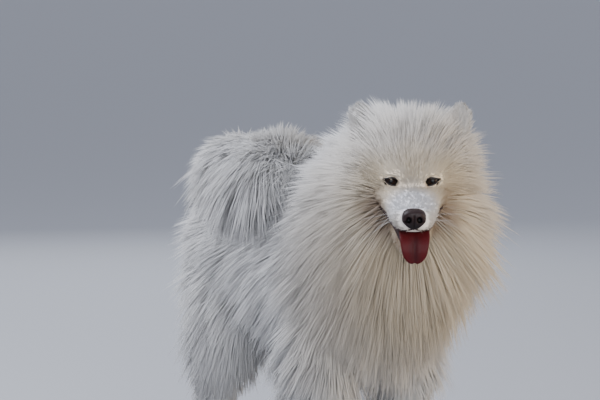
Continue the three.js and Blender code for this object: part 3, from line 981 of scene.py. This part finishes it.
def coat_finish():
    """White hair, darker towards the root by a painted shade and a little duller from tuft to tuft, that
    lets light through.
    """
    finish = Finish("samoyed_coat", Roughness=0.62, Specular_IOR_Level=0.25)
    # painted shade: each tuft darkens towards its root, where the coat is in shade
    root = (1 - finish.attribute("tip") * 1.5).clamp() * 0.06
    colour = finish.blend(root, coat_colour(finish), (0.74, 0.70, 0.64, 1))
    tone = finish.attribute("tone") * 0.12
    finish.feed("Base Color", finish.blend(tone, colour, (0.7, 0.68, 0.66, 1)))
    through = finish.node("ShaderNodeBsdfTranslucent", None, {"Color": (0.93, 0.91, 0.87, 1)})
    hair = Channel(finish, finish.shader.outputs[0])
    both = finish.node("ShaderNodeMixShader", None, {0: TRANSLUCENCY, 1: hair, 2: through})
    finish.tree.links.new(both.socket, finish.tree.nodes["Material Output"].inputs["Surface"])
    return finish.material


def skin_finish():
    finish = Finish("short_coat_on_skin", Roughness=0.7)
    colour = coat_colour(finish)
    grain = finish.noise(420, 4, 0.6)
    colour = finish.blend(grain * 0.14, colour, (0.62, 0.56, 0.5, 1))
    for side in (1, -1):
        # painted shade: the skin in the hollow round each eye is black, as it lies in shade behind the
        # lids
        hollow = finish.near(head_spot(side * EYE_APART / 2, 6, 0), SOCKET_SHADE_RADIUS, 0.001)
        colour = finish.blend(hollow, colour, BLACK)
    finish.feed("Base Color", colour)
    finish.bump(grain, 0.35, 0.0008)
    return finish.material


coat_material = coat_finish()
skin.data.materials.append(skin_finish())
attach(skin, "root")
flesh = ["torso", "neck", "head", "lower_jaw", "tail_root", "tail_end"]
for part in ("ear", "foreleg", "hindleg", "forepaw", "hindpaw"):
    flesh += [part + "_left", part + "_right"]
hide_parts(*flesh)

# %% [markdown]
# The coat is grown a piece at a time. A piece has a weight at each point of the skin, a number of tufts,
# a seed and a width. The lids, the nose and the lips stay clear of hair, and the hair is short beside
# them. The plume is a second, upright layer at the end of the tail.

# %% Grow the coat
share_grown = 1.0


def within(*names):
    return np.isin(labels, names).astype(float)


head_x, head_y, head_z = surface.head.T
design_x, design_y = surface.design[:, :2].T
beyond_eye = np.abs(head_x) - EYE_APART / 2
from_slit = np.hypot((beyond_eye + 2) / 17, (head_z + 0.5 - 0.3 * beyond_eye) / 8.2)
lids_area = (from_slit < 1) & (head_y < 14) & (within("skull", "muzzle") > 0)
nose_area = (head_y < -84) & (np.abs(head_x) < 19) & (head_z > -60)
lip_area = (head_y < -62) & (np.abs(head_x) < 25) & (head_z < -61)
clear = 1.0 - (lids_area | nose_area | lip_area)
hairy = soft(head_y, 14, 26)
face_area = within("skull", "muzzle", "jaw") * (1 - hairy) * clear
crown_area = within("skull", "jaw") * hairy


def grown(name, weight, count, seed, width, **settings):
    wider = width / math.sqrt(share_grown)
    made = coat_piece(name, weight, int(count * share_grown), seed, wider, **settings)
    made.data.materials.append(coat_material)


left_side = soft(design_x, -6, 6)
right_side = 1 - left_side
ruff_area = within("neck")
trunk_area = within("torso")
grown("coat_face", face_area, 19500, 1, width=1.15, clump_share=0.15, gather=0.1, wild=0.06)
grown("coat_crown", crown_area, 16500, 2, width=1.9, clump_share=0.05, gather=0.22, wild=0.14)
ear_area = within("ear") * (1 - 0.85 * soft(surface.normals[:, 2], 0.5, 0.9))
grown("coat_ears", ear_area, 6000, 10, width=1.5, clump_share=0.1, gather=0.15, wild=0.12)
grown("coat_ruff_left", ruff_area * left_side, 18500, 3, width=3.0)
grown("coat_ruff_right", ruff_area * right_side, 18500, 4, width=3.0)
grown("coat_torso_left", trunk_area * left_side, 13000, 5, width=3.4)
grown("coat_torso_right", trunk_area * right_side, 15000, 6, width=3.3)
under_tail = soft(-surface.normals[:, 2], 0.2, 0.8)
thickness = 1.9 - soft(design_y, 20, 120) + 0.5 * soft(design_y, 200, 290)
tail_area = within("tail") * thickness * (1 - 0.4 * under_tail)
rising = surface.normals[:, 2] - 0.8 * surface.normals[:, 1]
plume_area = within("tail") * soft(rising, 0.2, 0.8) * (1 - soft(design_y, 50, 100))
plume = {"width": 2.7, "clump_share": 0.07, "gather": 0.42, "wild": 0.24, "upright": 0.7, "trim": 0.72}
grown("coat_plume", plume_area, 2300, 12, **plume)
grown("coat_tail", tail_area, 18500, 7, width=3.1, wild=0.12, gather=0.16)
low_fore = within("foreleg", "paw") * (design_y < 0)
low_hind = within("hindleg", "paw") * (design_y > 0)
grown("coat_forelegs", low_fore, 11000, 8, width=2.4, clump_share=0.05)
grown("coat_hindlegs", low_hind, 13500, 9, width=2.8)

# %% [markdown]
# The eyes are dark and wet. A ball of the right size sits in the hollow, and black-rimmed lids close over
# it to an almond slit whose outer corner is higher.

# %% Eyes
EYE_RADIUS = 11
SLIT = (
    (13.2, 3.7), (7, 4.9), (0, 5.8), (-5.8, 5.5), (-10.6, 1.8), (-14.4, -5.2), (-10.2, -6.6),
    (-3, -6.1), (4.0, -3.6), (9.2, 0.5),
)


def eyeball(name, side):
    mesh = bmesh.new()
    bmesh.ops.create_uvsphere(mesh, u_segments=48, v_segments=32, radius=EYE_RADIUS * MM)
    centre = head_spot(side * EYE_APART / 2, EYE_DEPTH, 0)
    bmesh.ops.rotate(mesh, verts=mesh.verts, matrix=Matrix.Rotation(math.radians(90), 3, "X"))
    bmesh.ops.rotate(mesh, verts=mesh.verts, matrix=HEAD_AXES)
    bmesh.ops.translate(mesh, verts=mesh.verts, vec=centre)
    made = object_from("eyeball_" + name, mesh)
    dress(made, eye_finish(name, centre))
    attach(made, "root")
    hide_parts("eye_" + name)


def eye_finish(name, centre):
    """Black pupil in a dark brown iris, with the wet surface as a clear coat."""
    wet = {"Specular_IOR_Level": 0.12, "Coat_Weight": 0.12, "Coat_Roughness": 0.03}
    finish = Finish("wet_eye_" + name, Roughness=0.2, **wet)
    front = centre + HEAD_AXES @ Vector((0, -EYE_RADIUS * MM, 0))
    iris = finish.near(front, 0.0062, 0.0008)
    pupil = finish.near(front, 0.0030, 0.0006)
    colour = finish.blend(iris, (0.012, 0.008, 0.007, 1), (0.014, 0.006, 0.003, 1))
    colour = finish.blend(pupil, colour, (0.002, 0.002, 0.002, 1))
    finish.feed("Base Color", colour)
    return finish.material


# %% [markdown]
# The lids could be cut from the ball, but here a ring of points on the almond outline is extruded ring by
# ring out onto the face, so that the rim is thick and dark and the outer rings lie on the skin, under its
# short hair. Each ring has a step out from the outline, a height before the ball, and a share by which it
# follows the skin.

# %% Eyelids
LID_RINGS = (
    (-1.3, -4.0, 0), (-1.4, 0.4, 0), (-0.6, 1.1, 0), (0.4, 1.3, 0), (1.3, 0.9, 0.3),
    (2.4, 0.5, 0.7), (3.6, 0.2, 0.95), (5.0, 0.0, 1.0),
)
LID_STEPS = 48
LID_ROUND = 0.028


def drawn_out(mesh, ring):
    """Extrude a closed ring where it is, and return the new ring in the same order."""
    edges = [mesh.edges.get(pair) for pair in zip(ring, ring[1:] + ring[:1])]
    made = bmesh.ops.extrude_edge_only(mesh, edges=edges)["geom"]
    fresh = {item for item in made if isinstance(item, bmesh.types.BMVert)}
    return [next(e.other_vert(v) for e in v.link_edges if e.other_vert(v) in fresh) for v in ring]


def around_slit():
    """The outline of the dark rim as a closed curve through SLIT: outwards from the nose, and up."""
    looped = [SLIT[-1], *SLIT, SLIT[0], SLIT[1]]
    shares = (np.arange(LID_STEPS) / LID_STEPS * len(SLIT) + 1) / (len(looped) - 1)
    return smooth_at(looped, shares)


def eyelids(name, side):
    outline = around_slit()
    outwards = unit(outline - outline.mean(0))
    mesh = bmesh.new()
    rim = mesh.verts.layers.float.new("rim")
    ring = bmesh.ops.create_circle(mesh, segments=LID_STEPS, radius=1)["verts"]
    for number, (step, proud, follow) in enumerate(LID_RINGS):
        if number:
            ring = drawn_out(mesh, ring)
        flat = outline + outwards * step
        depth = EYE_DEPTH - EYE_RADIUS + LID_ROUND * (flat**2).sum(1) - proud
        spots = head_placed(np.stack([side * (EYE_APART / 2 + flat[:, 0]), depth, flat[:, 1]], 1))
        for vertex, spot in zip(ring, spots):
            on_skin, normal = face_tree.find_nearest(spot)[:2]
            vertex.co = Vector(spot).lerp(on_skin - normal * (0.0012 * follow), follow)
            vertex[rim] = step * MM
    bmesh.ops.recalc_face_normals(mesh, faces=mesh.faces)
    made = object_from("eyelids_" + name, mesh)
    outward = HEAD_AXES @ Vector((0, -1, 0))
    if sum(face.normal.dot(outward) for face in made.data.polygons) < 0:
        made.data.flip_normals()
    baked(made, ("SUBSURF", {"levels": 1, "render_levels": 1}))
    dress(made, lid_finish(name))
    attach(made, "root")


def lid_finish(name):
    """Black at the rim, and from a millimetre out the short coat's colour, grained and darkened by a
    painted shade.
    """
    finish = Finish("eyelid_" + name, Roughness=0.5)
    away = finish.attribute("rim")
    grain = finish.noise(700, 3, 0.6)
    dark = (1 - (away - 0.0006 - grain * 0.0008) * 1100).clamp()
    # painted shade: the fur of the lids is darker than the coat round it
    shaded_fur = finish.blend(grain * 0.3 + 0.25, coat_colour(finish), (0.42, 0.36, 0.3, 1))
    finish.feed("Base Color", finish.blend(dark, shaded_fur, BLACK))
    finish.bump(grain, 0.5, 0.0008)
    return finish.material


for name, side in (("left", 1), ("right", -1)):
    eyeball(name, side)
    eyelids(name, side)

# %% [markdown]
# The nose is moist brown-black leather with a pebbled surface, two comma-shaped nostrils and a groove
# below.

# %% Nose
NOSE_VOXEL = 0.0007
NOSE = (
    (0, -80, -44, 16.5, 12.5, 13), (0, -90, -45, 18.8, 14.4, 16), (0, -99, -46, 17.4, 12.8, 17),
    (0, -104, -47, 11, 8, 12),
)


def nose():
    mesh = bmesh.new()
    leather = Form("nose", NOSE, cap=0.25, squareness=2.6, head=True)
    leather.add_to(mesh, 48, 40)
    made = object_from("nose_pad", mesh)
    remesh = ("REMESH", {"mode": "VOXEL", "voxel_size": NOSE_VOXEL})
    baked(made, remesh, ("SMOOTH", {"factor": 0.5, "iterations": 4}))
    local = head_points(made)
    local[:, 0] *= 1 - 0.4 * soft(-local[:, 2], 49, 66)
    side = np.abs(local[:, 0])
    front = local[:, 1] < -92
    hole = np.hypot((side - 8.2) / 4.6, (local[:, 2] + 47.5) / 5.2)
    wing = np.hypot((side - 13.0) / 4.8, (local[:, 2] + 51.0) / 2.2)
    depth = 7 * np.clip(1 - hole**2, 0, 1) ** 0.5 + 4 * np.clip(1 - wing**2, 0, 1) ** 0.5
    groove = 1.8 * np.exp(-((side / 1.1) ** 2)) * soft(-local[:, 2], 36, 46)
    local[:, 1] += front * (depth + groove)
    move_points(made, local)
    dress(made, nose_finish())
    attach(made, "root")
    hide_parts("nose")


def nose_finish():
    moist = {"Specular_IOR_Level": 0.2, "Coat_Weight": 0.08, "Coat_Roughness": 0.25}
    finish = Finish("nose_leather", Roughness=0.42, **moist)
    pattern = {"Vector": finish.place(), "Scale": 850.0}
    pebbles = finish.node("ShaderNodeTexVoronoi", None, pattern, "Distance")
    patch = finish.noise(160, 3, 0.5)
    colour = finish.blend(patch, (0.009, 0.004, 0.004, 1), (0.024, 0.010, 0.010, 1))
    # painted shade: the lower part of the nose is darker, as it faces away from the light
    shade_under_nose = finish.near(head_spot(0, -100, -66), 0.008, 0.014)
    colour = finish.blend(shade_under_nose * 0.9, colour, (0.006, 0.004, 0.004, 1))
    # painted shade: the nostrils are darker inside, where they lie in shade
    for side in (1, -1):
        dark = finish.near(head_spot(side * 8.6, -97, -48.5), 0.0042, 0.0022)
        colour = finish.blend(dark, colour, (0.003, 0.002, 0.002, 1))
    finish.feed("Base Color", colour)
    finish.bump(pebbles, 0.45, 0.0005)
    return finish.material


nose()

# %% [markdown]
# The tongue hangs over the lower lip: wide, thin at the edge, with a groove along its middle, wet and
# red-pink.

# %% Tongue
TONGUE_FACE = (0, -0.7071, 0.7071)
TONGUE = (
    (0, -6, -60, 19, 4.5, 4.5), (1, -34, -66, 22, 4.5, 4.5), (2, -60, -72, 23.6, 4, 4),
    (2, -77, -82, 23, 3.6, 3.6), (2, -83, -100, 20, 3.2, 3.2), (2, -80, -120, 14, 2.6, 2.6),
)


def tongue():
    mesh = bmesh.new()
    shape = Form("tongue", TONGUE, TONGUE_FACE, cap=0.16, squareness=2.2, head=True)
    shape.add_to(mesh, 64, 48)
    made = object_from("tongue_flesh", mesh)
    local = head_points(made)
    across = local[:, 0] - 2
    groove = 2.4 * np.exp(-((across / 2.2) ** 2)) * (1 - soft(-local[:, 2], 110, 121))
    cupped = 3.2 * (across / 22) ** 2
    local[:, 1] += groove - cupped
    local[:, 2] += 2.2 * np.exp(-((across / 2.6) ** 2)) * soft(-local[:, 2], 112, 122)
    move_points(made, local)
    dress(made, tongue_finish())
    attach(made, "root")
    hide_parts("tongue")


def tongue_finish():
    wet = {"Specular_IOR_Level": 0.12, "Coat_Weight": 0.03, "Coat_Roughness": 0.2}
    finish = Finish("wet_tongue", Roughness=0.5, **wet)
    buds = finish.noise(1300, 2, 0.6)
    patch = finish.noise(70, 2, 0.5)
    colour = finish.blend(patch, (0.052, 0.003, 0.004, 1), (0.08, 0.006, 0.008, 1))
    # painted shade: darker down the middle groove of the hanging tongue
    for height in range(5):
        groove_shade = finish.near(head_spot(2, -84, -76 - 9 * height), 0.002, 0.011)
        colour = finish.blend(groove_shade * 0.4, colour, (0.028, 0.009, 0.010, 1))
    finish.feed("Base Color", colour)
    finish.bump(buds, 0.35, 0.0004)
    return finish.material


tongue()

# %% [markdown]
# The lips are a dark soft edge that follows the mouth from under the nose back to its corners, above and
# below. A small circle is extruded along each line. Behind them a lining closes the inside of the mouth;
# it is near black, a painted shade for the inside of the mouth.

# %% Mouth
UPPER_LIP = (
    (0, -86, -63), (10, -83, -65), (19, -76, -66), (28, -60, -65), (35.5, -40, -57),
    (42.5, -14, -48), (50, 8, -41),
)
LOWER_LIP = (
    (0, -71, -98), (11, -67, -96), (18, -50, -87), (25, -27, -74), (33, -6, -61),
    (42, 3, -50), (50, 9, -43),
)
LIP_SIDES = 10
LIP_STEPS = 90


def lip_finish(name, roughness):
    finish = Finish(name, Roughness=roughness, Specular_IOR_Level=0.3)
    grain = finish.noise(500, 3, 0.6)
    colour = finish.blend(grain, (0.014, 0.007, 0.007, 1), (0.04, 0.018, 0.018, 1))
    finish.feed("Base Color", colour)
    finish.bump(grain, 0.4, 0.0004)
    return finish.material


def lip(name, line, radius):
    """A lip along a line from the middle of the mouth back to its left corner, and its mirror image."""
    full = [(-x, y, z) for x, y, z in reversed(line[1:])] + list(line)
    shares = np.linspace(0, 1, LIP_STEPS)
    path = [Vector(spot) for spot in head_placed(smooth_at(full, shares))]
    mesh = bmesh.new()
    ring = bmesh.ops.create_circle(mesh, segments=LIP_SIDES, radius=1, cap_ends=True)["verts"]
    for number, (share, spot) in enumerate(zip(shares, path)):
        if number:
            ring = drawn_out(mesh, ring)
        ahead = (path[min(number + 1, LIP_STEPS - 1)] - path[max(number - 1, 0)]).normalized()
        across = ahead.cross(Vector((0, 0, 1))).normalized()
        over = across.cross(ahead)
        thick = radius * MM * (0.3 + 0.7 * math.sin(math.pi * share) ** 0.5)
        for corner, vertex in enumerate(ring):
            angle = 2 * math.pi * corner / LIP_SIDES
            beside = across * (math.cos(angle) * thick)
            vertex.co = spot + beside + over * (math.sin(angle) * thick * 1.3)
    mesh.faces.new(ring)
    bmesh.ops.recalc_face_normals(mesh, faces=mesh.faces)
    made = object_from(name, mesh)
    dress(made, lip_material)
    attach(made, "root")


def mouth_lining():
    mesh = bmesh.new()
    inside = [
        (0, 12, -50, 40, 8, 10), (0, -18, -60, 34, 8, 12), (0, -44, -72, 27, 8, 13),
        (0, -66, -84, 18, 8, 10),
    ]
    Form("mouth", inside, squareness=2.4, head=True).add_to(mesh, 40, 30)
    made = object_from("mouth_lining", mesh)
    # painted shade: the lining takes the near-black lip colour, as the inside of the mouth lies in shade
    dress(made, lip_finish("mouth_inside_shade", 0.8))
    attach(made, "root")


lip_material = lip_finish("dark_lip", 0.45)
lip("upper_lip", UPPER_LIP, 1.8)
lip("lower_lip", LOWER_LIP, 2.6)
mouth_lining()

# %% [markdown]
# Each foot has four short dark claws, one to a toe. A claw is a blunt cone that is turned to point
# forwards and down, half hidden in the hair.

# %% Claws
CLAW_LEAN = math.radians(118)
CLAW_SIZE = {"radius1": 3.2 * MM, "radius2": 0.6 * MM, "depth": 14 * MM}


def claws():
    finish = Finish("dark_claw", Roughness=0.35)
    grain = finish.noise(600, 2, 0.5)
    colour = finish.blend(grain, (0.05, 0.04, 0.035, 1), (0.13, 0.11, 0.09, 1))
    finish.feed("Base Color", colour)
    mesh = bmesh.new()
    lean = Matrix.Rotation(CLAW_LEAN, 4, "X")
    for side in (1, -1):
        for toe_y in (FORE_TOES_Y, HIND_TOES_Y):
            for across, behind in TOES:
                spot = placed([(side * PAW_SIDE + across, toe_y - 4 + behind, 10)])[0]
                place = Matrix.Translation(Vector(spot)) @ lean
                bmesh.ops.create_cone(mesh, cap_ends=True, segments=12, matrix=place, **CLAW_SIZE)
    made = object_from("claws", mesh)
    dress(made, finish.material)
    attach(made, "root")


claws()

# %% [markdown]
# A few white whiskers stand out from the sides of the muzzle, in two rows. Each is a long thin straight
# cone.

# %% Whiskers
WHISKER_ENDS = {"radius1": 0.16 * MM, "radius2": 0.05 * MM}


def whisker(mesh, random, side, row, column):
    """One whisker. Its place, aim and length, in millimetres, are drawn at random in that order."""
    height = -46 - 8 * row + random.uniform(-1, 1)
    root = Vector((side * (29 + 4.5 * column), -62 + 12 * column, height))
    outwards = side * random.uniform(0.6, 1)
    aim = Vector((outwards, random.uniform(-0.6, 0.2), random.uniform(-0.8, 0.1)))
    aim.normalize()
    long = random.uniform(34, 58)
    made = bmesh.ops.create_cone(mesh, cap_ends=True, segments=5, depth=long * MM, **WHISKER_ENDS)
    turn = (HEAD_AXES @ aim).to_track_quat("Z", "Y").to_matrix()
    bmesh.ops.rotate(mesh, verts=made["verts"], matrix=turn)
    bmesh.ops.translate(mesh, verts=made["verts"], vec=head_spot(*(root + aim * (long / 2))))


def whiskers():
    finish = Finish("whisker", Roughness=0.4, Base_Color=(0.85, 0.84, 0.8, 1))
    random = np.random.default_rng(21)
    mesh = bmesh.new()
    for side in (1, -1):
        for row in range(2):
            for column in range(3):
                whisker(mesh, random, side, row, column)
    made = object_from("whiskers", mesh)
    made.data.materials.append(finish.material)
    say(made)
    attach(made, "root")


whiskers()

# %% [markdown]
# Last, the box of the dressed model is taken, and how far it has grown past the imported model's box is
# printed.

# %% Finish
visual_box = [list(corner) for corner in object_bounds()]
growth = (np.array(visual_box) - np.array(cad_box)) / MM
print("grown by mm:", growth.round(1).tolist())
